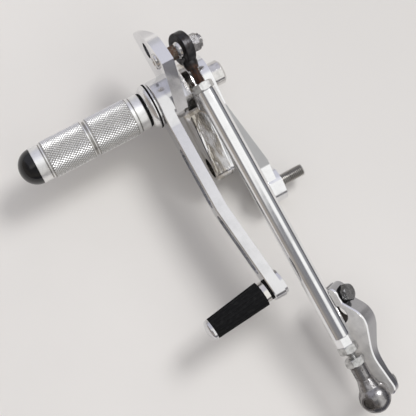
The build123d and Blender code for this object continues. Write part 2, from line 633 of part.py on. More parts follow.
# Crank: one cast plate, thick and wide round the split clamp, narrow at the waist, wide again at the ball stud
with BuildPart() as crank_arm:
    with BuildSketch(crank_face(clamp_thick)):
        with Locations((belly_forward, crank_offset)):
            Circle(belly_radius)
        with Locations((waist_forward, crank_offset)):
            Circle(waist_radius)
        make_hull()
        with BuildSketch(mode=Mode.PRIVATE) as stud_end:
            corner_at = crank_reach + crank_end_long - crank_end_round
            corner_off = crank_end_half - crank_end_round
            with Locations((corner_at, crank_offset - corner_off), (corner_at, crank_offset + corner_off)):
                Circle(crank_end_round)
            with Locations((waist_forward, crank_offset)):
                Circle(waist_radius)
            make_hull()
        with BuildSketch(mode=Mode.PRIVATE) as clamp_end:
            Circle(clamp_radius)
            with Locations((belly_forward, crank_offset)):
                Circle(belly_radius)
            make_hull()
        add(stud_end.sketch)
        add(clamp_end.sketch)
        fillet(vertices().filter_by_position(Axis.X, waist_forward - waist_radius, waist_forward + waist_radius),
               waist_round)
        with Locations((-clamp_ear_long / 2, 0)):
            Rectangle(clamp_ear_long, 2 * clamp_ear_half)
        fillet(vertices().group_by(Axis.X)[0], clamp_ear_round)
    extrude(amount=clamp_thick)
    with BuildSketch(crank_side):
        with BuildLine():
            stud_out = crank_reach + crank_end_long + 1
            ear_out = -clamp_ear_long - 1
            Polyline((ear_out, 0), (stud_out, 0), (stud_out, -crank_end_thick),
                     (crank_reach - crank_end_half, -crank_end_thick), (crank_step_end, -crank_arm_thick),
                     (crank_step_start, -clamp_thick), (ear_out, -clamp_thick), close=True)
        make_face()
    extrude(amount=belly_radius + crank_offset, both=True, mode=Mode.INTERSECT)
    chamfer(faces().sort_by(Axis(bore_centre, joint_axis))[-1].edges(), crank_edge)
    with BuildSketch(crank_face(clamp_thick)):
        Circle(shaft_radius)
        with Locations((-clamp_ear_long / 2, 0)):
            Rectangle(clamp_ear_long + 1, clamp_slit)
        with Locations((crank_reach, crank_offset)):
            Circle(m6 / 2 + bolt_gap)
    extrude(amount=clamp_thick, mode=Mode.SUBTRACT)
    pinch_centre = bore_centre - joint_axis * (clamp_thick / 2) - rod_dir * pinch_back
    pinch_face = Plane(origin=pinch_centre, x_dir=rod_dir, z_dir=crank_way)
    with BuildSketch(pinch_face):
        Circle(m6 / 2 + bolt_gap)
    extrude(amount=clamp_ear_half + 1, both=True, mode=Mode.SUBTRACT)
    with BuildSketch(pinch_face.offset(clamp_ear_half)):
        Circle(pinch_washer_radius + bolt_gap)
    extrude(amount=clamp_radius, mode=Mode.SUBTRACT)

pinch_top = clamp_ear_half
pinch_lathe = Plane(origin=pinch_centre, x_dir=pinch_face.z_dir, z_dir=joint_axis)
with BuildPart() as pinch_washer:
    tube(pinch_lathe, pinch_top, pinch_top + pinch_washer_thick, pinch_washer_radius, m6 / 2 + bolt_gap)

with BuildPart() as pinch_bolt:
    head_seat = pinch_top + pinch_washer_thick
    hex_nut(pinch_face.offset(head_seat), pinch_lathe, head_seat, pinch_flats, pinch_head_height, 0)
    tube(pinch_lathe, -clamp_ear_half - bolt_over, head_seat, m6 / 2)

for name, piece in (
    ("mounting_bracket", mounting_bracket), ("frame_bolt", frame_bolt), ("frame_washer", frame_washer),
    ("pivot_spindle", pivot_spindle), ("inner_thrust_washer", inner_thrust_washer),
    ("outer_thrust_washer", outer_thrust_washer), ("footpeg_bolt", footpeg_bolt),
    ("footpeg_base", footpeg_base), ("pivot_o_ring", pivot_o_ring), ("footpeg_barrel", footpeg_barrel),
    ("peg_o_ring", peg_o_ring),
    ("footpeg_end_cap", footpeg_end_cap), ("gear_lever", gear_lever), ("pivot_bush", pivot_bush),
    ("toe_peg_spindle", toe_peg_spindle), ("toe_peg_o_ring", toe_peg_o_ring),
    ("toe_peg_rubber", toe_peg_rubber), ("toe_peg_cap", toe_peg_cap),
    ("rod_eye_bolt", rod_eye_bolt), ("rod_eye_spacer", rod_eye_spacer),
    ("rod_eye_ball", rod_eye_ball), ("rod_eye_washer", rod_eye_washer), ("rod_eye_nut", rod_eye_nut),
    ("rod_eye_housing", rod_eye_housing), ("upper_lock_nut", upper_lock_nut), ("shift_rod", shift_rod),
    ("lower_lock_nut", lower_lock_nut), ("socket_stud", socket_stud), ("socket_lock_nut", socket_lock_nut),
    ("ball_socket", ball_socket), ("socket_disc", socket_disc), ("ball_stud", ball_stud),
    ("stud_washer", stud_washer), ("stud_nut", stud_nut), ("crank_arm", crank_arm),
    ("pinch_washer", pinch_washer), ("pinch_bolt", pinch_bolt),
):
    piece.part.label = name
    export_step(piece.part, f"parts/{name}.step")
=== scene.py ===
"""Looks of a motorbike rear set: finishes, knurl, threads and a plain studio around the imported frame.

Sizes in the classes below are millimetres in the frame of the part: X outboard along the footpeg, Y forward
along the gear lever, Z up, with the origin on the frame bolt's axis. Meshes are handed to Blender in metres.
"""

from __future__ import annotations

import logging
import math
from dataclasses import dataclass, field
from enum import Enum
from typing import Any, Sequence, Union

import bmesh
import bpy
from mathutils import Matrix, Vector


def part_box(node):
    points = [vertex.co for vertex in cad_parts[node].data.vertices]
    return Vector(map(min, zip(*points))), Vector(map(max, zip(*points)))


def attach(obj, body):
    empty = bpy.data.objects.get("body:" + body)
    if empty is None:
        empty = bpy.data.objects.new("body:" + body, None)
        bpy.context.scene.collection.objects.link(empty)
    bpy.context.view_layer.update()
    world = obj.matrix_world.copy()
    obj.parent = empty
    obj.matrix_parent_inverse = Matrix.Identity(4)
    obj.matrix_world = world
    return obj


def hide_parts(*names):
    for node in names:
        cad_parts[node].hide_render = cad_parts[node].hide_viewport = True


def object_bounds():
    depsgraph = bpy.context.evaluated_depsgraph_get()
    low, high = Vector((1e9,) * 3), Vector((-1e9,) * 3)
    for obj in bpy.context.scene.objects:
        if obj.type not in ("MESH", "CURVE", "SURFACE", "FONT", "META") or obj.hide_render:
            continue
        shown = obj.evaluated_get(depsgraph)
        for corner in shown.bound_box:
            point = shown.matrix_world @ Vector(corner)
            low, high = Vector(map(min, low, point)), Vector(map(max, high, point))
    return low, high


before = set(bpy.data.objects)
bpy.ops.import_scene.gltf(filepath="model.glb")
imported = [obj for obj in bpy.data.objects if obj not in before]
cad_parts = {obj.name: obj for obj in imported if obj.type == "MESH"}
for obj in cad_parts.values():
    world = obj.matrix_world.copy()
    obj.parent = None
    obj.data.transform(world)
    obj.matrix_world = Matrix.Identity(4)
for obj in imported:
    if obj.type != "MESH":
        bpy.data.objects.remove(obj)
cad_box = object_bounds()

LOG = logging.getLogger("rear_set")
MM = 0.001
Colour = tuple[float, float, float]
Spot = tuple[float, float, float]
Fade = tuple[float, float]  # two levels, between which something fades in

PIVOT_Y, PIVOT_Z = -79.0, 26.0  # axis of the footpeg and the gear lever
EYE_CENTRE: Spot = (24.6, -95.629, 55.999)
BALL_CENTRE: Spot = (19.8, 147.8, 25.2)
ROD_WAY = (Vector(BALL_CENTRE) - Vector(EYE_CENTRE)).normalized()

THREAD_DEEP = 0.61  # depth of a thread, in pitches
ROOT_FLAT, CREST_START = 0.06, 0.44  # where a thread's flank starts and ends, in pitches
DIAMOND_LONG = 1.3  # length of a knurl's diamond, in widths
WALL_FOOT = 0.95  # radius at the foot of a knurl band's end wall, as a share of that at its top
RUN_IN = 2  # turns of thread before its first station, trimmed off
SPARE_CELLS = 2  # cells of the knurl's grid past the band, trimmed off
MERGE, FINE_MERGE = 1e-3, 1e-4  # vertices this close become one
ON_PLANE, FINE_ON_PLANE = 1e-4, 1e-5  # vertices this close to a cut lie on it


class Body(Enum):
    """Rigid bodies of the linkage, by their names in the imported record."""

    BRACKET = "bracket"
    LEVER = "lever"
    LINK = "link"
    CRANK = "crank"


class Slot(Enum):
    """Material slots of the record, passed with new pieces but not used."""

    SATIN = "satin_aluminium"
    ZINC = "zinc_steel"
    CHROME = "chrome_steel"
    RUST = "rusty_steel"
    BLACK = "black_steel"


# Shader graphs


@dataclass(frozen=True)
class Sock:
    """A shader socket that takes part in Python expressions."""

    graph: "Graph"
    socket: bpy.types.NodeSocket | None

    def _math(self, operation: str, first: "Value", second: "Value") -> "Sock":
        """One Math node on two values."""
        return self.graph.node("ShaderNodeMath", {"operation": operation}, {0: first, 1: second})

    def __add__(self, other: "Value") -> "Sock":
        """Sum."""
        return self._math("ADD", self, other)

    def __radd__(self, other: "Value") -> "Sock":
        """Sum, number first."""
        return self._math("ADD", other, self)

    def __sub__(self, other: "Value") -> "Sock":
        """Difference."""
        return self._math("SUBTRACT", self, other)

    def __rsub__(self, other: "Value") -> "Sock":
        """Difference, number first."""
        return self._math("SUBTRACT", other, self)

    def __mul__(self, other: "Value") -> "Sock":
        """Product."""
        return self._math("MULTIPLY", self, other)

    def __rmul__(self, other: "Value") -> "Sock":
        """Product, number first."""
        return self._math("MULTIPLY", other, self)

    def __pow__(self, other: "Value") -> "Sock":
        """Power."""
        return self._math("POWER", self, other)

    def least(self, other: "Value") -> "Sock":
        """The smaller of two values."""
        return self._math("MINIMUM", self, other)


Value = Union[Sock, float, Sequence[float]]


class Graph:
    """The node tree of one material or world."""

    def __init__(self, tree: bpy.types.NodeTree) -> None:
        """Start with an empty tree.

        Args:
            tree: the node tree to fill.
        """
        self.tree = tree
        tree.nodes.clear()

    def node(self, kind: str, settings: dict[str, Any] | None = None,
             inputs: dict[Any, Value] | None = None, out: Any = 0) -> Sock:
        """Add a node.

        Args:
            kind: the node's type.
            settings: its properties, set before its sockets.
            inputs: values or links of its sockets, by name or number.
            out: the output wanted, by name or number.

        Returns:
            The wanted output, or an empty socket for a node that has none.
        """
        made = self.tree.nodes.new(kind)
        for key, value in (settings or {}).items():
            setattr(made, key, value)
        for key, value in (inputs or {}).items():
            target = made.inputs[key]
            if isinstance(value, Sock):
                self.tree.links.new(value.socket, target)
            elif isinstance(value, (tuple, list)) and len(value) == 3 and target.type == "RGBA":
                target.default_value = (*value, 1.0)
            else:
                target.default_value = value
        return Sock(self, made.outputs[out] if made.outputs else None)

    def place(self) -> Sock:
        """Object coordinates, in metres in the part's frame."""
        return self.node("ShaderNodeTexCoord", out="Object")

    def axes(self, vector: Sock) -> tuple[Sock, Sock, Sock]:
        """The three parts of a vector.

        Args:
            vector: the vector to take apart.

        Returns:
            Its X, Y and Z.
        """
        first = self.node("ShaderNodeSeparateXYZ", inputs={0: vector})
        outs = first.socket.node.outputs
        return first, Sock(self, outs[1]), Sock(self, outs[2])

    def noise(self, size: float, detail: float = 3.0, rough: float = 0.5,
              stretch: tuple[float, float, float] = (1, 1, 1)) -> Sock:
        """Fractal noise over the piece.

        Args:
            size: grain size in millimetres.
            detail: octaves.
            rough: share of each finer octave.
            stretch: how much longer the grain is along X, Y and Z.

        Returns:
            A value about 0.5.
        """
        scale = [1 / (size * MM * s) for s in stretch]
        spot = self.node("ShaderNodeMapping", inputs={"Vector": self.place(), "Scale": scale})
        return self.node("ShaderNodeTexNoise", inputs={"Vector": spot, "Scale": 1.0, "Detail": detail,
                                                       "Roughness": rough})

    def step(self, value: Value, low: float, high: float, start: float = 0.0, end: float = 1.0) -> Sock:
        """Smooth step of a value.

        Args:
            value: what is measured.
            low: where the step starts.
            high: where it ends.
            start: result below low.
            end: result above high.

        Returns:
            The stepped value.
        """
        return self.node("ShaderNodeMapRange", {"interpolation_type": "SMOOTHSTEP"},
                         {"Value": value, "From Min": low, "From Max": high, "To Min": start, "To Max": end})

    def mix(self, share: Value, first: Value, second: Value) -> Sock:
        """Blend two colours.

        Args:
            share: how much of the second.
            first: colour at 0.
            second: colour at 1.

        Returns:
            The blended colour.
        """
        return self.node("ShaderNodeMix", {"data_type": "RGBA"}, {0: share, 6: first, 7: second}, out=2)

    def reach(self, way: Sequence[float]) -> Sock:
        """How far a place lies along a direction, in metres."""
        return self.node("ShaderNodeVectorMath", {"operation": "DOT_PRODUCT"}, {0: self.place(), 1: way},
                         out="Value")

    def bump(self, height: Sock, depth: float) -> Sock:
        """Normal from a height between 0 and 1.

        Args:
            height: the height.
            depth: relief in millimetres.

        Returns:
            The bumped normal.
        """
        return self.node("ShaderNodeBump", inputs={"Strength": 1.0, "Distance": depth * MM, "Height": height})

    def surface(self, **inputs: Value) -> None:
        """Close the tree with a principled surface.

        Args:
            inputs: socket values, with underscores for spaces.
        """
        shader = self.node("ShaderNodeBsdfPrincipled",
                           inputs={key.replace("_", " "): value for key, value in inputs.items()})
        self.node("ShaderNodeOutputMaterial", inputs={"Surface": shader})


def shade(colour: Colour, share: float) -> Colour:
    """A colour dimmed to a share of itself."""
    red, green, blue = colour
    return share * red, share * green, share * blue


def span(low: float, high: float) -> tuple[float, float]:
    """Two millimetre places in metres."""
    return low * MM, high * MM


def reach_along(spot: Sequence[float], way: Sequence[float]) -> float:
    """How far a spot lies along a direction, in millimetres."""
    return sum(part * share for part, share in zip(spot, way))


# Finishes


@dataclass(frozen=True)
class Finish:
    """A finish that dresses pieces with one procedural material."""

    name: str

    def material(self) -> bpy.types.Material:
        """The finish's material, made once."""
        made = bpy.data.materials.get(self.name)
        if made is None:
            made = bpy.data.materials.new(self.name)
            made.use_nodes = True
            self.paint(Graph(made.node_tree))
        return made

    def paint(self, graph: Graph) -> None:
        """Fill the finish's node tree.

        Args:
            graph: the empty tree.
        """
        raise NotImplementedError

    def dress(self, *pieces: bpy.types.Object) -> None:
        """Give pieces this finish alone.

        Args:
            pieces: mesh objects.
        """
        for piece in pieces:
            piece.data.materials.clear()
            piece.data.materials.append(self.material())


@dataclass(frozen=True)
class Polished(Finish):
    """Hand-polished aluminium with faint swirls, hazy patches and soft waves in its reflections.

    The lever has a painted highlight above a height. The bracket has a satin arm darkened by painted shade,
    and a lug with streaked relief and streaks of painted reflection.
    """

    tone: Colour = (0.90, 0.905, 0.915)
    dull: float = 0.86
    dull_fade: Fade = (0.4, 0.8)
    gloss: float = 0.10
    haze: float = 0.10
    haze_fade: Fade = (0.45, 0.75)
    swirl_grain: float = 0.5
    swirl_fade: Fade = (0.55, 0.8)
    swirl_haze: float = 0.08
    swirl_deep: float = 0.03
    cloud_grain: float = 14.0
    wave_grain: float = 9.0
    wave: float = 0.06
    # Painted highlight: above this height the lever's colour fades to a lighter tone.
    highlight_above: float | None = None
    highlight_fade: float = 3.0
    highlight_tone: Colour = (0.93, 0.93, 0.935)
    satin: tuple[float, float] | None = None
    satin_start: float = 2.0
    satin_end: float = 1.0
    satin_inside: float = 24.0
    # Painted shade: darker colour given to the satin arm.
    satin_shade_tone: Colour = (0.46, 0.46, 0.465)
    satin_haze: float = 0.25
    lug_fade: Fade = (1.0, 2.0)  # outboard of the satin arm
    # Painted reflection: brownish tone of the streaks on the lug.
    lug_reflection_tone: Colour = (0.50, 0.47, 0.42)
    streak_grain: float = 3.5
    reflection_streak_fade: Fade = (0.35, 0.6)
    streak: float = 0.0

    def paint(self, graph: Graph) -> None:
        """See Finish.paint."""
        swirl = graph.noise(self.swirl_grain, detail=4, stretch=(1, 9, 1))
        cloud = graph.noise(self.cloud_grain, detail=3)
        wave = graph.noise(self.wave_grain, detail=1)
        rough = self.gloss + graph.step(cloud, *self.haze_fade) * self.haze
        rough = rough + graph.step(swirl, *self.swirl_fade) * self.swirl_haze
        colour = graph.mix(graph.step(cloud, *self.dull_fade), self.tone, shade(self.tone, self.dull))
        x, y, z = graph.axes(graph.place())
        # Painted highlight: the lever's colour turns lighter above a height.
        if self.highlight_above is not None:
            top = graph.step(z, *span(self.highlight_above, self.highlight_above + self.highlight_fade))
            colour = graph.mix(top, colour, self.highlight_tone)
        if self.satin:
            low, high = self.satin
            inside, lug_low, lug_high = self.satin_inside, *self.lug_fade
            arm = graph.step(y, *span(low, low + self.satin_start))
            arm = arm * (1 - graph.step(y, *span(high - self.satin_end, high)))
            arm = arm * (1 - graph.step(x, *span(inside - self.satin_end, inside)))
            # Painted shade darkens the satin arm's colour; its added roughness is the real satin finish.
            colour = graph.mix(arm, colour, self.satin_shade_tone)
            rough = rough + arm * self.satin_haze
            lug = graph.step(x, *span(inside + lug_low, inside + lug_high))
            streak = graph.noise(self.streak_grain, detail=2, stretch=(1, 5, 2))
            wave = wave + streak * lug * self.streak
            # Painted reflection: brownish streaks in the lug's colour; the same streaks also add real relief
            # above.
            colour = graph.mix(graph.step(streak, *self.reflection_streak_fade) * lug, colour, self.lug_reflection_tone)
        graph.surface(Base_Color=colour, Metallic=1.0, Roughness=rough,
                      Normal=graph.bump(wave + swirl * self.swirl_deep, self.wave))


@dataclass(frozen=True)
class Turned(Finish):
    """Lathe-turned metal with fine rings about an axis along X, with painted shade between crests and in
    grooves and random specks of dirt.
    """

    tone: Colour = (0.86, 0.86, 0.86)
    dull: float = 0.84
    dull_fade: Fade = (0.4, 0.75)
    gloss: float = 0.22
    haze: float = 0.12
    haze_fade: Fade = (0.4, 0.8)
    cloud_grain: float = 6.0
    speck_grain: float = 0.8
    speck_fade: Fade = (0.5, 0.8)
    rings_per_metre: float = 9000.0
    ring_deep: float = 0.01
    axis_y: float = PIVOT_Y
    axis_z: float = PIVOT_Z
    root: float = 0.0
    crest: float = 0.0
    plain: float = 0.0
    soft_edge: float = 0.05
    groove_fade: Fade = (-0.4, -0.15)  # from the plain radius
    # Painted shade in the roots and grooves, mixed with random specks of dirt.
    shade_and_dirt_tone: Colour = (0.30, 0.29, 0.27)
    root_shade: float = 0.85
    groove_shade: float = 0.9
    speck_grime: float = 0.12

    def paint(self, graph: Graph) -> None:
        """See Finish.paint."""
        x, y, z = graph.axes(graph.place())
        rings = graph.node("ShaderNodeTexNoise", {"noise_dimensions": "1D"},
                           {"W": x * self.rings_per_metre, "Scale": 1.0, "Detail": 2.0})
        cloud = graph.noise(self.cloud_grain, detail=4, rough=0.6)
        speck = graph.noise(self.speck_grain, detail=3)
        colour = graph.mix(graph.step(cloud, *self.dull_fade), self.tone, shade(self.tone, self.dull))
        if self.crest:
            radius = ((y - self.axis_y * MM) ** 2.0 + (z - self.axis_z * MM) ** 2.0) ** 0.5
            low = 1 - graph.step(radius, *span(self.root, self.crest))
            between = low * graph.step(radius, *span(self.plain + self.soft_edge, self.root - self.soft_edge))
            groove = 1 - graph.step(radius, *span(*(self.plain + level for level in self.groove_fade)))
            # Painted shade in the roots between crests and in the grooves, plus random specks of dirt.
            shade_and_dirt = between * self.root_shade + groove * self.groove_shade
            shade_and_dirt = (shade_and_dirt + graph.step(speck, *self.speck_fade) * self.speck_grime).least(1.0)
            colour = graph.mix(shade_and_dirt, colour, self.shade_and_dirt_tone)
        rough = self.gloss + graph.step(cloud, *self.haze_fade) * self.haze
        graph.surface(Base_Color=colour, Metallic=1.0, Roughness=rough,
                      Normal=graph.bump(rings, self.ring_deep))


@dataclass(frozen=True)
class Cast(Finish):
    """Cast alloy: blasted matt on its outer face, with a polished rim and edges; the rim carries a painted
    highlight, the side walls painted shade, and the bore is painted dark as shade.
    """

    tone: Colour = (0.88, 0.865, 0.84)
    # Painted highlight along the rim beside the face, and painted shade on the side walls.
    rim_highlight: Colour = (0.90, 0.90, 0.91)
    side_shade: Colour = (0.43, 0.43, 0.445)
    blasted: float = 0.8
    on_face: Spot = (13.835, 93.498, 23.245)
    out: Spot = (0.76590, 0.09555, 0.63582)
    rim: float = 0.8
    bore: float = 6.3
    # Painted shade: nearly black inside the bore.
    bore_shade: Colour = (0.030, 0.024, 0.020)
    bore_fade: float = 0.2
    face_fade: Fade = (-0.12, -0.02)  # from the outer face
    rim_fade: Fade = (-1.05, -0.95)  # from the outer face, in rims
    dull: float = 0.8
    dull_fade: Fade = (0.35, 0.75)
    cloud_grain: float = 7.0
    grain_size: float = 0.7
    grain_fade: Fade = (0.4, 0.7)
    face_gloss: float = 0.42
    grain_haze: float = 0.15
    edge_gloss: float = 0.16
    grease_haze: float = 0.3
    grain_deep: float = 0.05

    def paint(self, graph: Graph) -> None:
        """See Finish.paint."""
        height = graph.reach(self.out) - reach_along(self.on_face, self.out) * MM
        apart = graph.node("ShaderNodeVectorMath", {"operation": "SUBTRACT"},
                           {0: graph.place(), 1: [spot * MM for spot in self.on_face]})
        across = graph.node("ShaderNodeVectorMath", {"operation": "CROSS_PRODUCT"}, {0: apart, 1: self.out})
        radius = graph.node("ShaderNodeVectorMath", {"operation": "LENGTH"}, {0: across}, out="Value")
        inside = 1 - graph.step(radius, *span(self.bore - self.bore_fade, self.bore))
        grain = graph.noise(self.grain_size, detail=4, rough=0.6)
        cloud = graph.noise(self.cloud_grain, detail=3)
        face = graph.step(height, *span(*self.face_fade))
        side = 1 - graph.step(height, *span(*(share * self.rim for share in self.rim_fade)))
        cast = graph.mix(graph.step(cloud, *self.dull_fade), self.tone, shade(self.tone, self.dull))
        # Painted highlight on the rim band beside the face, painted shade on the side walls below it.
        colour = graph.mix(face, graph.mix(side, self.rim_highlight, self.side_shade), cast)
        # Painted shade: the bore is painted nearly black.
        colour = graph.mix(inside, colour, self.bore_shade)
        rough = face * (self.face_gloss + graph.step(grain, *self.grain_fade) * self.grain_haze)
        rough = rough + (1 - face) * self.edge_gloss + inside * self.grease_haze
        graph.surface(Base_Color=colour, Metallic=1 - face * self.blasted, Roughness=rough,
                      Normal=graph.bump(grain * face, self.grain_deep))


@dataclass(frozen=True)
class Plated(Finish):
    """Plated steel with dulled patches and specks of rust, which may start at a place along the rod."""

    tone: Colour = (0.62, 0.62, 0.61)
    gloss: float = 0.3
    dull: float = 0.6
    dull_fade: Fade = (0.38, 0.72)
    rust: float = 0.0
    rust_fade: Fade = (0.66, 0.74)
    rust_spread: float = 0.22
    speck_share: float = 0.6
    rust_tone: Colour = (0.16, 0.065, 0.022)
    rust_dark: float = 0.35
    rust_rough: float = 0.75
    rust_cover: float = 0.85
    rust_deep: float = 0.05
    rust_proud: float = 0.6
    rust_past: float | None = None
    rust_run: float = 4.0
    rust_before: float = 0.08
    haze: float = 0.15
    haze_fade: Fade = (0.4, 0.75)
    cloud_grain: float = 3.0
    speck_grain: float = 0.9
    speck_deep: float = 0.015

    def paint(self, graph: Graph) -> None:
        """See Finish.paint."""
        cloud = graph.noise(self.cloud_grain, detail=4, rough=0.6)
        speck = graph.noise(self.speck_grain, detail=4, rough=0.65)
        colour = graph.mix(graph.step(cloud, *self.dull_fade), self.tone, shade(self.tone, self.dull))
        rough = self.gloss + graph.step(cloud, *self.haze_fade) * self.haze
        if not self.rust:
            graph.surface(Base_Color=colour, Metallic=1.0, Roughness=rough,
                          Normal=graph.bump(speck, self.speck_deep))
            return
        blotch = speck * self.speck_share + cloud * (1 - self.speck_share)
        spot = graph.step(blotch, *(level - self.rust_spread * self.rust for level in self.rust_fade))
        if self.rust_past is not None:
            start = reach_along(EYE_CENTRE, ROD_WAY) + self.rust_past
            run = span(start, start + self.rust_run)
            spot = spot * graph.step(graph.reach(ROD_WAY), *run, self.rust_before, 1.0)
        rusty = graph.mix(speck, shade(self.rust_tone, self.rust_dark), self.rust_tone)
        graph.surface(Base_Color=graph.mix(spot, colour, rusty), Metallic=1 - spot * self.rust_cover,
                      Roughness=rough * (1 - spot) + spot * self.rust_rough,
                      Normal=graph.bump(speck + spot * self.rust_proud, self.rust_deep))


@dataclass(frozen=True)
class Rubber(Finish):
    """Black rubber with a dusty bloom."""

    tone: Colour = (0.006, 0.006, 0.0065)
    bloom: Colour = (0.022, 0.022, 0.022)
    bloom_fade: Fade = (0.45, 0.8)
    dust_grain: float = 2.5
    grain_size: float = 0.35
    gloss: float = 0.75
    haze: float = 0.2
    haze_fade: Fade = (0.4, 0.8)
    shine: float = 0.15
    grain_deep: float = 0.02

    def paint(self, graph: Graph) -> None:
        """See Finish.paint."""
        dust = graph.noise(self.dust_grain, detail=5, rough=0.65)
        grain = graph.noise(self.grain_size, detail=2)
        graph.surface(Base_Color=graph.mix(graph.step(dust, *self.bloom_fade), self.tone, self.bloom),
                      Roughness=self.gloss + graph.step(dust, *self.haze_fade) * self.haze,
                      Specular_IOR_Level=self.shine, Normal=graph.bump(grain, self.grain_deep))


@dataclass(frozen=True)
class Moulded(Finish):
    """Glossy black moulded plastic with light scuffs."""

    tone: Colour = (0.006, 0.006, 0.007)
    worn_tone: Colour = (0.03, 0.03, 0.03)
    gloss: float = 0.14
    haze: float = 0.3
    scuff_grain: float = 1.4
    scuff_fade: Fade = (0.6, 0.85)
    scuff_deep: float = 0.006

    def paint(self, graph: Graph) -> None:
        """See Finish.paint."""
        scuff = graph.noise(self.scuff_grain, detail=6, rough=0.7, stretch=(1, 3, 1))
        worn = graph.step(scuff, *self.scuff_fade)
        graph.surface(Base_Color=graph.mix(worn, self.tone, self.worn_tone),
                      Roughness=self.gloss + worn * self.haze, Normal=graph.bump(scuff, self.scuff_deep))


class Finishes:
    """The finishes of this rear set, under names that the frame's own materials don't have."""

    POLISHED = Polished("polished_spindle", tone=(0.80, 0.78, 0.75))
    LEVER = Polished("polished_lever", tone=(0.765, 0.765, 0.78), gloss=0.14, haze=0.06, wave=0.05,
                     highlight_above=57.0)
    BRACKET = Polished("polished_bracket", satin=(-58.0, -11.5), wave=0.12, streak=2.2)
    ROD = Polished("polished_rod", gloss=0.09, haze=0.06, wave=0.03)
    TURNED = Turned("turned_aluminium")
    # Painted shade in the knurl's roots and the barrel's grooves.
    KNURLED = Turned("knurled_aluminium", tone=(0.93, 0.93, 0.925), gloss=0.36, root=12.0, crest=12.25,
                     plain=11.8)
    CAST = Cast("cast_alloy")
    ZINC = Plated("zinc_plate", rust=0.12)
    CHROME = Plated("bright_plate", tone=(0.76, 0.75, 0.74), gloss=0.06, dull=0.8, rust=0.1)
    WORN = Plated("worn_plate", tone=(0.37, 0.36, 0.36), gloss=0.22, dull=0.45, rust=0.5,
                  rust_tone=(0.07, 0.045, 0.03))
    RUSTED = Plated("rusted_steel", tone=(0.16, 0.14, 0.12), gloss=0.45, dull=0.5, rust=0.95,
                    rust_tone=(0.11, 0.045, 0.02))
    EYE = Plated("rod_eye_steel", tone=(0.055, 0.055, 0.058), gloss=0.32, dull=0.5, rust=0.9,
                 rust_tone=(0.13, 0.05, 0.022), rust_past=11.0)
    PINCH = Plated("oiled_grey_steel", tone=(0.30, 0.30, 0.30), gloss=0.22, dull=0.55, rust=0.15)
    # Painted shade, nearly black, in the thread's roots.
    STUD = Turned("oiled_stud_steel", tone=(0.55, 0.53, 0.50), gloss=0.26, axis_y=0.0, axis_z=0.0, root=3.35,
                  crest=3.95, plain=1.0, shade_and_dirt_tone=(0.045, 0.04, 0.035))
    # Painted shade: the recessed disc is darker than the socket it sits in; its specks of rust are real.
    RECESS_SHADE = Plated("shaded_recess_disc", tone=(0.20, 0.19, 0.18), gloss=0.3, dull=0.4, rust=0.3)
    RUBBER = Rubber("dusty_rubber")
    PLASTIC = Moulded("scuffed_plastic")
    BRONZE = Plated("plain_bronze", tone=(0.6, 0.42, 0.2), gloss=0.25)


# Mesh work


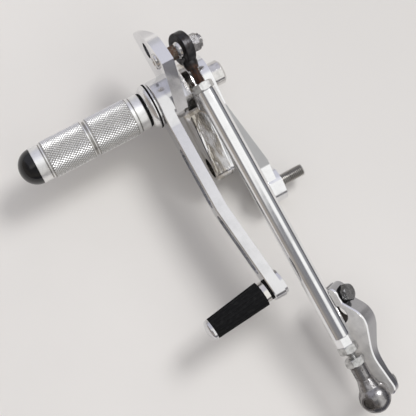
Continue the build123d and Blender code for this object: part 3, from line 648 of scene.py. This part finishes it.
class Form:
    """A bmesh being shaped in millimetres, that ends as one finished piece in metres."""

    def __init__(self) -> None:
        """Start with nothing."""
        self.bm = bmesh.new()

    def fresh(self, before: set) -> list[bmesh.types.BMVert]:
        """Vertices that weren't there before."""
        return [v for v in self.bm.verts if v not in before]

    def turned(self, outline: Sequence[tuple[float, float]], place: Matrix, steps: int = 96) -> "Form":
        """Spin an outline about the local X axis.

        Args:
            outline: (station, radius) points.
            place: where the local frame stands.
            steps: facets round the axis.

        Returns:
            This form.
        """
        verts = [self.bm.verts.new((station, radius, 0)) for station, radius in outline]
        edges = [self.bm.edges.new(pair) for pair in zip(verts, verts[1:])]
        before = set(self.bm.verts) - set(verts)
        bmesh.ops.spin(self.bm, geom=[*verts, *edges], cent=(0, 0, 0), axis=(1, 0, 0), angle=2 * math.pi,
                       steps=steps, use_merge=True)
        bmesh.ops.remove_doubles(self.bm, verts=self.fresh(before), dist=FINE_MERGE)
        self.moved(place, before)
        return self

    def moved(self, place: Matrix, kept: set) -> None:
        """Transform every vertex that isn't kept.

        Args:
            place: the transform.
            kept: vertices that stay.
        """
        bmesh.ops.transform(self.bm, matrix=place, verts=self.fresh(kept))

    def thread(self, start: float, end: float, crest: float, pitch: float, place: Matrix,
               facets: int = 28) -> "Form":
        """Roll a thread along the local X axis, trimmed square at both ends and closed.

        Args:
            start: first station.
            end: last station.
            crest: outer radius.
            pitch: pitch.
            place: where the local frame stands.
            facets: facets in one turn.

        Returns:
            This form.
        """
        root = crest - THREAD_DEEP * pitch
        before = set(self.bm.verts)
        section = [(0, root), (ROOT_FLAT, root), (CREST_START, crest), (1 - CREST_START, crest),
                   (1 - ROOT_FLAT, root), (1, root)]
        verts = [self.bm.verts.new((start + (share - RUN_IN) * pitch, radius, 0))
                 for share, radius in section]
        edges = [self.bm.edges.new(pair) for pair in zip(verts, verts[1:])]
        turns = math.ceil((end - start) / pitch) + RUN_IN + 1
        bmesh.ops.spin(self.bm, geom=[*verts, *edges], cent=(0, 0, 0), axis=(1, 0, 0),
                       dvec=(pitch / facets, 0, 0), angle=2 * math.pi * turns, steps=facets * turns)
        bmesh.ops.remove_doubles(self.bm, verts=self.fresh(before), dist=MERGE)
        for station, side in ((start, -1), (end, 1)):
            bmesh.ops.bisect_plane(self.bm, geom=self.linked(self.fresh(before)), dist=FINE_ON_PLANE,
                                   plane_co=(station, 0, 0), plane_no=(side, 0, 0), clear_outer=True)
        rims = [e for v in self.fresh(before) for e in v.link_edges if e.is_boundary]
        bmesh.ops.holes_fill(self.bm, edges=list(set(rims)), sides=0)
        self.moved(place, before)
        return self

    @staticmethod
    def linked(verts: Sequence[bmesh.types.BMVert]) -> list:
        """Vertices with their edges and faces."""
        edges = {e for v in verts for e in v.link_edges}
        faces = {f for v in verts for f in v.link_faces}
        return [*verts, *edges, *faces]

    def copied(self, node: str) -> "Form":
        """Copy a node of the frame and merge its loose triangles.

        Args:
            node: the node's name.

        Returns:
            This form.
        """
        self.bm.from_mesh(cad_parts[node].data)
        bmesh.ops.scale(self.bm, vec=(1 / MM,) * 3, verts=self.bm.verts)
        bmesh.ops.remove_doubles(self.bm, verts=self.bm.verts, dist=MERGE)
        return self

    def cut(self, point: Vector, towards: Vector) -> "Form":
        """Cut away everything past a plane and close the cut.

        Args:
            point: a point on the plane.
            towards: the way that is cut away.

        Returns:
            This form.
        """
        bmesh.ops.bisect_plane(self.bm, geom=[*self.bm.verts, *self.bm.edges, *self.bm.faces], dist=ON_PLANE,
                               plane_co=point, plane_no=towards, clear_outer=True)
        rims = [e for e in self.bm.edges if e.is_boundary]
        bmesh.ops.holes_fill(self.bm, edges=rims, sides=0)
        return self

    def knurl(self, start: float, long: float, root: float, crest: float, around: int,
              place: Matrix) -> "Form":
        """Diamond knurl: a tilted grid with raised centres, rolled round the local X axis.

        Args:
            start: first station.
            long: band's length.
            root: radius between the diamonds.
            crest: radius of their tips.
            around: diamonds round the band.
            place: where the local frame stands.

        Returns:
            This form.
        """
        girth = 2 * math.pi * root
        wide = girth / around
        rows = round(long / (wide * DIAMOND_LONG))
        tall = long / rows
        cells = around + rows + SPARE_CELLS
        before = set(self.bm.verts)
        bmesh.ops.create_grid(self.bm, x_segments=cells, y_segments=cells, size=cells / 2,
                              matrix=Matrix.Rotation(math.radians(45), 4, "Z"))
        fresh = self.fresh(before)
        bmesh.ops.scale(self.bm, vec=(tall / math.sqrt(2), wide / math.sqrt(2), 1), verts=fresh)
        bmesh.ops.translate(self.bm, vec=(long / 2, girth / 2, 0), verts=fresh)
        for point, way in (((0, 0, 0), (-1, 0, 0)), ((long, 0, 0), (1, 0, 0)), ((0, 0, 0), (0, -1, 0)),
                           ((0, girth, 0), (0, 1, 0))):
            bmesh.ops.bisect_plane(self.bm, geom=self.linked(self.fresh(before)), dist=ON_PLANE,
                                   plane_co=point, plane_no=way, clear_outer=True)
        faces = list({f for v in self.fresh(before) for f in v.link_faces})
        bmesh.ops.poke(self.bm, faces=[f for f in faces if len(f.verts) == 4], offset=crest - root,
                       center_mode="MEAN")
        fresh = self.fresh(before)
        for vert in fresh:
            angle, radius = vert.co.y / root, root + abs(vert.co.z)
            vert.co = (start + vert.co.x, radius * math.cos(angle), radius * math.sin(angle))
        bmesh.ops.remove_doubles(self.bm, verts=fresh, dist=MERGE)
        rims = list({e for v in self.fresh(before) for e in v.link_edges if e.is_boundary})
        walls = bmesh.ops.extrude_edge_only(self.bm, edges=rims)["geom"]
        for vert in (v for v in walls if isinstance(v, bmesh.types.BMVert)):
            vert.co.y *= WALL_FOOT
            vert.co.z *= WALL_FOOT
        self.moved(place, before)
        return self

    def piece(self, name: str, finish: Finish, body: Body, slot: Slot, *nodes: str,
              smooth: float = 35.0) -> bpy.types.Object:
        """Finish the form as a piece that rides on a body.

        Args:
            name: the piece's name.
            finish: its finish.
            body: the body it rides on.
            slot: the record's slot it belongs to; not used.
            nodes: nodes of the frame that it stands for.
            smooth: edges sharper than this angle stay sharp.

        Returns:
            The new object.
        """
        bmesh.ops.scale(self.bm, vec=(MM,) * 3, verts=self.bm.verts)
        bmesh.ops.recalc_face_normals(self.bm, faces=self.bm.faces)
        mesh = bpy.data.meshes.new(name)
        self.bm.to_mesh(mesh)
        self.bm.free()
        mesh.polygons.foreach_set("use_smooth", [True] * len(mesh.polygons))
        mesh.set_sharp_from_angle(angle=math.radians(smooth))
        made = bpy.data.objects.new(name, mesh)
        bpy.context.scene.collection.objects.link(made)
        finish.dress(made)
        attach(made, body.value)
        if nodes:
            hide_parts(*nodes)
        LOG.info("%s: %d faces on %s", name, len(mesh.polygons), body.value)
        return made


def along(origin: Sequence[float], direction: Sequence[float]) -> Matrix:
    """A frame whose X axis runs along a direction.

    Args:
        origin: its origin.
        direction: the way of its X axis.

    Returns:
        The frame's matrix.
    """
    return Matrix.Translation(origin) @ Vector(direction).to_track_quat("X", "Z").to_matrix().to_4x4()


def dress_nodes(finish: Finish, *nodes: str) -> None:
    """Dress nodes of the frame with a finish.

    Args:
        finish: the finish.
        nodes: their names.
    """
    finish.dress(*(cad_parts[node] for node in nodes))
    LOG.info("%s: %s", finish.name, ", ".join(nodes))


# Sub-assemblies


@dataclass
class Footpeg:
    """Fixed footpeg on the bracket's pivot: knurled barrel, flared base, rings and end cap."""

    neck: float = 9.7
    band: float = 28.0
    gap: float = 3.05
    ring_seat: float = 1.2
    ring_root: float = 10.2
    plain: float = 11.8
    root: float = 12.0
    crest: float = 12.6
    groove: float = 0.9
    groove_deep: float = 0.5
    groove_side: float = 0.2
    mid_groove: float = 1.5
    sunk: float = 0.2
    lip: float = 0.1
    neck_bevel: float = 0.5
    end_bevel: float = 0.3
    bore: float = 5.05
    diamonds: int = 41

    def build(self) -> None:
        """Model the knurled barrel and dress the rest."""
        low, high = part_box("footpeg_barrel")
        start, end = low.x / MM, high.x / MM
        first = start + self.neck
        second = first + self.band + self.gap
        last = second + self.band
        plain, deep, under = self.plain, self.plain - self.groove_deep, self.plain - self.sunk
        collar = start + self.ring_seat
        mid = first + self.band + (self.gap - self.mid_groove) / 2
        place = Matrix.Translation((0, PIVOT_Y, PIVOT_Z))
        barrel = Form().turned([
            (start, self.bore), (start, self.ring_root), (collar, self.ring_root),
            (collar, plain - self.neck_bevel), (collar + self.neck_bevel, plain),
            *self.grooved(first - 3 * self.groove, self.groove, plain, deep),
            (first - self.lip, plain), (first, under),
            *self.grooved(mid, self.mid_groove, under, deep),
            (last, under), (last + self.lip, plain),
            *self.grooved(last + self.groove, self.groove, plain, deep),
            (end - self.end_bevel, plain), (end, plain - self.end_bevel), (end, self.bore),
            (start, self.bore)], place)
        for band in (first, second):
            barrel.knurl(band, self.band, self.root, self.crest, self.diamonds, place)
        barrel.piece("knurled_barrel", Finishes.KNURLED, Body.BRACKET, Slot.SATIN, "footpeg_barrel",
                     smooth=30)
        dress_nodes(Finishes.TURNED, "footpeg_base", "pivot_spindle")
        dress_nodes(Finishes.RUBBER, "pivot_o_ring", "peg_o_ring")
        dress_nodes(Finishes.PLASTIC, "footpeg_end_cap")
        dress_nodes(Finishes.CHROME, "footpeg_bolt")

    def grooved(self, start: float, wide: float, top: float, deep: float) -> list[tuple[float, float]]:
        """Outline of one turned groove.

        Args:
            start: where it starts.
            wide: its width.
            top: radius beside it.
            deep: radius of its floor.

        Returns:
            Its (station, radius) points.
        """
        end, side = start + wide, self.groove_side
        return [(start, top), (start + side, deep), (end - side, deep), (end, top)]


@dataclass
class Bracket:
    """Mounting bracket and the bolt that holds it to the motorbike's frame."""

    thread_from: float = 0.1
    thread_to: float = 18.0
    crest: float = 4.0
    pitch: float = 1.25

    def build(self) -> None:
        """Roll the frame bolt's thread and dress the rest."""
        inboard = along((0, 0, 0), (-1, 0, 0))
        bolt = Form().copied("frame_bolt").cut(Vector((-self.thread_from, 0, 0)), Vector((-1, 0, 0)))
        bolt.thread(self.thread_from, self.thread_to, self.crest, self.pitch, inboard)
        bolt.piece("threaded_frame_bolt", Finishes.STUD, Body.BRACKET, Slot.BLACK, "frame_bolt")
        dress_nodes(Finishes.BRACKET, "mounting_bracket")
        dress_nodes(Finishes.ZINC, "frame_washer", "inner_thrust_washer", "outer_thrust_washer")


@dataclass
class Lever:
    """Gear lever with its toe peg and the rod eye's bolt."""

    crest: float = 3.0
    pitch: float = 1.0
    thread_long: float = 5.0
    overlap: float = 0.5

    def build(self) -> None:
        """Roll the eye bolt's thread and dress the rest."""
        inboard = along((0, *EYE_CENTRE[1:]), (-1, 0, 0))
        low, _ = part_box("rod_eye_bolt")
        tip = -low.x / MM
        start = tip - self.thread_long
        bolt = Form().copied("rod_eye_bolt").cut(Vector((-start, 0, 0)), Vector((-1, 0, 0)))
        bolt.thread(start - self.overlap, tip, self.crest, self.pitch, inboard)
        bolt.piece("threaded_eye_bolt", Finishes.CHROME, Body.LEVER, Slot.CHROME, "rod_eye_bolt")
        dress_nodes(Finishes.LEVER, "gear_lever", "toe_peg_cap")
        dress_nodes(Finishes.POLISHED, "toe_peg_spindle")
        dress_nodes(Finishes.RUBBER, "toe_peg_rubber", "toe_peg_o_ring")
        dress_nodes(Finishes.CHROME, "rod_eye_ball")
        dress_nodes(Finishes.RUSTED, "rod_eye_spacer")
        dress_nodes(Finishes.WORN, "rod_eye_nut", "rod_eye_washer")
        dress_nodes(Finishes.BRONZE, "pivot_bush")


@dataclass
class Link:
    """Shift rod between the rod eye and the ball joint, with its lock nuts."""

    neck_end: float = 14.2
    overlap: float = 0.5
    shank_end: float = 46.55
    stud: tuple[float, float] = (190.317, 232.417)
    crest: float = 3.0
    pitch: float = 1.0

    def build(self) -> None:
        """Roll the two threads and dress the rest."""
        place = along(EYE_CENTRE, ROD_WAY)
        eye = Form().copied("rod_eye_housing").cut(Vector(EYE_CENTRE) + ROD_WAY * self.neck_end, ROD_WAY)
        eye.thread(self.neck_end - self.overlap, self.shank_end, self.crest, self.pitch, place)
        eye.piece("threaded_rod_eye", Finishes.EYE, Body.LINK, Slot.RUST, "rod_eye_housing")
        stud = Form().thread(*self.stud, self.crest, self.pitch, place)
        stud.piece("threaded_stud", Finishes.ZINC, Body.LINK, Slot.ZINC, "socket_stud")
        dress_nodes(Finishes.ROD, "shift_rod")
        dress_nodes(Finishes.ZINC, "upper_lock_nut", "lower_lock_nut", "socket_lock_nut")
        dress_nodes(Finishes.WORN, "ball_socket")
        dress_nodes(Finishes.RECESS_SHADE, "socket_disc")


@dataclass
class Crank:
    """Clamp-on gearbox crank with its ball stud and pinch bolt."""

    def build(self) -> None:
        """Dress the crank's nodes."""
        dress_nodes(Finishes.CAST, "crank_arm")
        dress_nodes(Finishes.CHROME, "ball_stud")
        dress_nodes(Finishes.ZINC, "stud_washer", "stud_nut")
        dress_nodes(Finishes.PINCH, "pinch_bolt")
        dress_nodes(Finishes.RUBBER, "pinch_washer")


# Studio


@dataclass
class Studio:
    """Pale floor, a soft lamp, a plain room and the camera; left and right are the camera's."""

    focal_px: float = 854.07
    image_px: float = 416.0
    sensor_mm: float = 36.0
    clip_start: float = 0.01
    eye: Spot = (130.6, 35.1, 555.2)
    right: Spot = (-0.87, 0.484, 0.089)
    view: Spot = (-0.143, -0.075, -0.987)
    floor_half: float = 4.0
    floor_tone: Colour = (0.83, 0.805, 0.77)
    floor_rough: float = 0.7
    cloud_grain: float = 120.0
    cloud_fade: Fade = (0.3, 0.8)
    cloud_share: float = 0.96
    # Painted shadow: where the floor darkens, how far it reaches and how dark it gets.
    shadow_corner: tuple[float, float] = (-190.0, -130.0)
    shadow_reach: Fade = (30.0, 420.0)
    shadow_share: float = 0.80
    table_end: Fade = (170.0, 260.0)
    past_table: Colour = (0.10, 0.105, 0.14)
    floor_gap: float = 0.4
    key_place: Spot = (-810.0, -390.0, 1350.0)
    key_size: float = 540.0
    key_watts: float = 12.4
    target: Spot = (40.0, 30.0, 20.0)
    ceiling_wide: Fade = (0.62, 0.74)
    ceiling_low: Fade = (0.12, 0.26)
    ceiling_ahead: Fade = (-0.30, 0.02)
    white: Colour = (1.0, 0.995, 0.98)
    rear_ceiling: Colour = (0.62, 0.62, 0.69)
    corner_left: Fade = (-0.04, 0.06)
    corner_ahead: Fade = (0.16, 0.24)
    corner_up: Fade = (0.3, 0.9)
    corner_low: Colour = (0.40, 0.36, 0.32)
    corner_high: Colour = (0.22, 0.22, 0.235)
    right_up: Fade = (0.05, 0.45)
    right_low: Colour = (0.05, 0.05, 0.055)
    right_high: Colour = (0.30, 0.30, 0.32)
    left_up: Fade = (0.1, 0.7)
    left_low: Colour = (0.40, 0.36, 0.32)
    left_high: Colour = (0.22, 0.215, 0.22)
    right_to_left: Fade = (-0.05, 0.05)
    behind_to_ahead: Fade = (-0.1, 0.1)
    wall_behind: Colour = (0.50, 0.50, 0.53)
    wall_ahead: Colour = (0.20, 0.19, 0.19)
    room_light: float = 1.0

    def build(self) -> None:
        """Make the floor, the room, the lamp and the camera."""
        self.floor()
        self.room()
        self.lamp("key", self.key_place, self.key_size, self.key_watts)
        self.camera()

    def floor(self) -> None:
        """A broad pale floor just under the lowest point, darkened towards one corner by a painted shadow;
        mirrors show it ending a little way ahead.
        """
        bm = bmesh.new()
        bmesh.ops.create_grid(bm, x_segments=1, y_segments=1, size=self.floor_half)
        bmesh.ops.translate(bm, vec=(0, 0, cad_box[0].z - self.floor_gap * MM), verts=bm.verts)
        mesh = bpy.data.meshes.new("floor")
        bm.to_mesh(mesh)
        bm.free()
        floor = bpy.data.objects.new("floor", mesh)
        bpy.context.scene.collection.objects.link(floor)
        material = bpy.data.materials.new("pale_floor")
        material.use_nodes = True
        graph = Graph(material.node_tree)
        cloud = graph.noise(self.cloud_grain, detail=4)
        x, y, _ = graph.axes(graph.place())
        # Painted shadow: the floor's colour darkens towards one corner.
        shadow_x, shadow_y = span(*self.shadow_corner)
        apart = ((x - shadow_x) ** 2.0 + (y - shadow_y) ** 2.0) ** 0.5
        painted_shadow = 1 - graph.step(apart, *span(*self.shadow_reach))
        cloudy = shade(self.floor_tone, self.cloud_share)
        tone = graph.mix(graph.step(cloud, *self.cloud_fade), self.floor_tone, cloudy)
        tone = graph.mix(painted_shadow, tone, shade(self.floor_tone, self.shadow_share))
        mirrored = graph.node("ShaderNodeLightPath", out="Is Glossy Ray")
        ahead = mirrored * graph.step(y, *span(*self.table_end))
        graph.surface(Base_Color=graph.mix(ahead, tone, self.past_table), Roughness=self.floor_rough)
        mesh.materials.append(material)

    def room(self) -> None:
        """A pale ceiling, dimmer to the rear, with a grey corner ahead on the left and darker side walls."""
        world = bpy.data.worlds.new("room")
        world.use_nodes = True
        bpy.context.scene.world = world
        graph = Graph(world.node_tree)
        x, y, z = graph.axes(graph.node("ShaderNodeTexCoord", out="Generated"))
        wide = graph.node("ShaderNodeMath", {"operation": "ABSOLUTE"}, {0: x})
        ceiling = graph.mix(graph.step(y, *self.ceiling_ahead), self.rear_ceiling, self.white)
        corner = graph.step(x, *self.corner_left) * graph.step(y, *self.corner_ahead)
        grey = graph.mix(graph.step(z, *self.corner_up), self.corner_low, self.corner_high)
        ceiling = graph.mix(corner, ceiling, grey)
        right = graph.mix(graph.step(z, *self.right_up), self.right_low, self.right_high)
        left = graph.mix(graph.step(z, *self.left_up), self.left_low, self.left_high)
        side = graph.mix(graph.step(x, *self.right_to_left), right, left)
        low = graph.mix(graph.step(y, *self.behind_to_ahead), self.wall_behind, self.wall_ahead)
        low = graph.mix(graph.step(wide, *self.ceiling_wide), low, side)
        open_up = (1 - graph.step(wide, *self.ceiling_wide)) * graph.step(z, *self.ceiling_low)
        light = graph.node("ShaderNodeBackground", inputs={"Color": graph.mix(open_up, low, ceiling),
                                                           "Strength": self.room_light})
        graph.node("ShaderNodeOutputWorld", inputs={"Surface": light})

    def lamp(self, name: str, place: Sequence[float], size: float, watts: float) -> None:
        """A soft square lamp aimed at the object.

        Args:
            name: its name.
            place: where it hangs.
            size: its side.
            watts: its power.
        """
        data = bpy.data.lights.new(name, "AREA")
        data.shape, data.size, data.energy = "SQUARE", size * MM, watts
        lamp = bpy.data.objects.new(name, data)
        lamp.location = Vector(place) * MM
        lamp.rotation_euler = (Vector(place) - Vector(self.target)).to_track_quat("Z", "Y").to_euler()
        bpy.context.scene.collection.objects.link(lamp)

    def camera(self) -> None:
        """The camera where the photograph was taken from."""
        ahead = Vector(self.view).normalized()
        right = Vector(self.right)
        right = (right - ahead * right.dot(ahead)).normalized()
        up = right.cross(ahead)
        data = bpy.data.cameras.new("camera")
        data.sensor_width = self.sensor_mm
        data.lens = data.sensor_width * self.focal_px / self.image_px
        data.clip_start = self.clip_start
        camera = bpy.data.objects.new("camera", data)
        turn = Matrix((right, up, -ahead)).transposed().to_4x4()
        camera.matrix_world = Matrix.Translation(Vector(self.eye) * MM) @ turn
        bpy.context.scene.collection.objects.link(camera)
        bpy.context.scene.camera = camera


@dataclass
class RearSet:
    """The whole rear set."""

    parts: list[Any] = field(default_factory=lambda: [Footpeg(), Bracket(), Lever(), Link(), Crank()])

    def build(self) -> None:
        """Build every sub-assembly in order."""
        for part in self.parts:
            part.build()


def main() -> None:
    """Build the rear set and its studio."""
    logging.basicConfig(level=logging.INFO, format="%(message)s")
    bpy.context.scene.view_settings.view_transform = "Standard"
    RearSet().build()
    Studio().build()


if __name__ == "__main__":
    main()
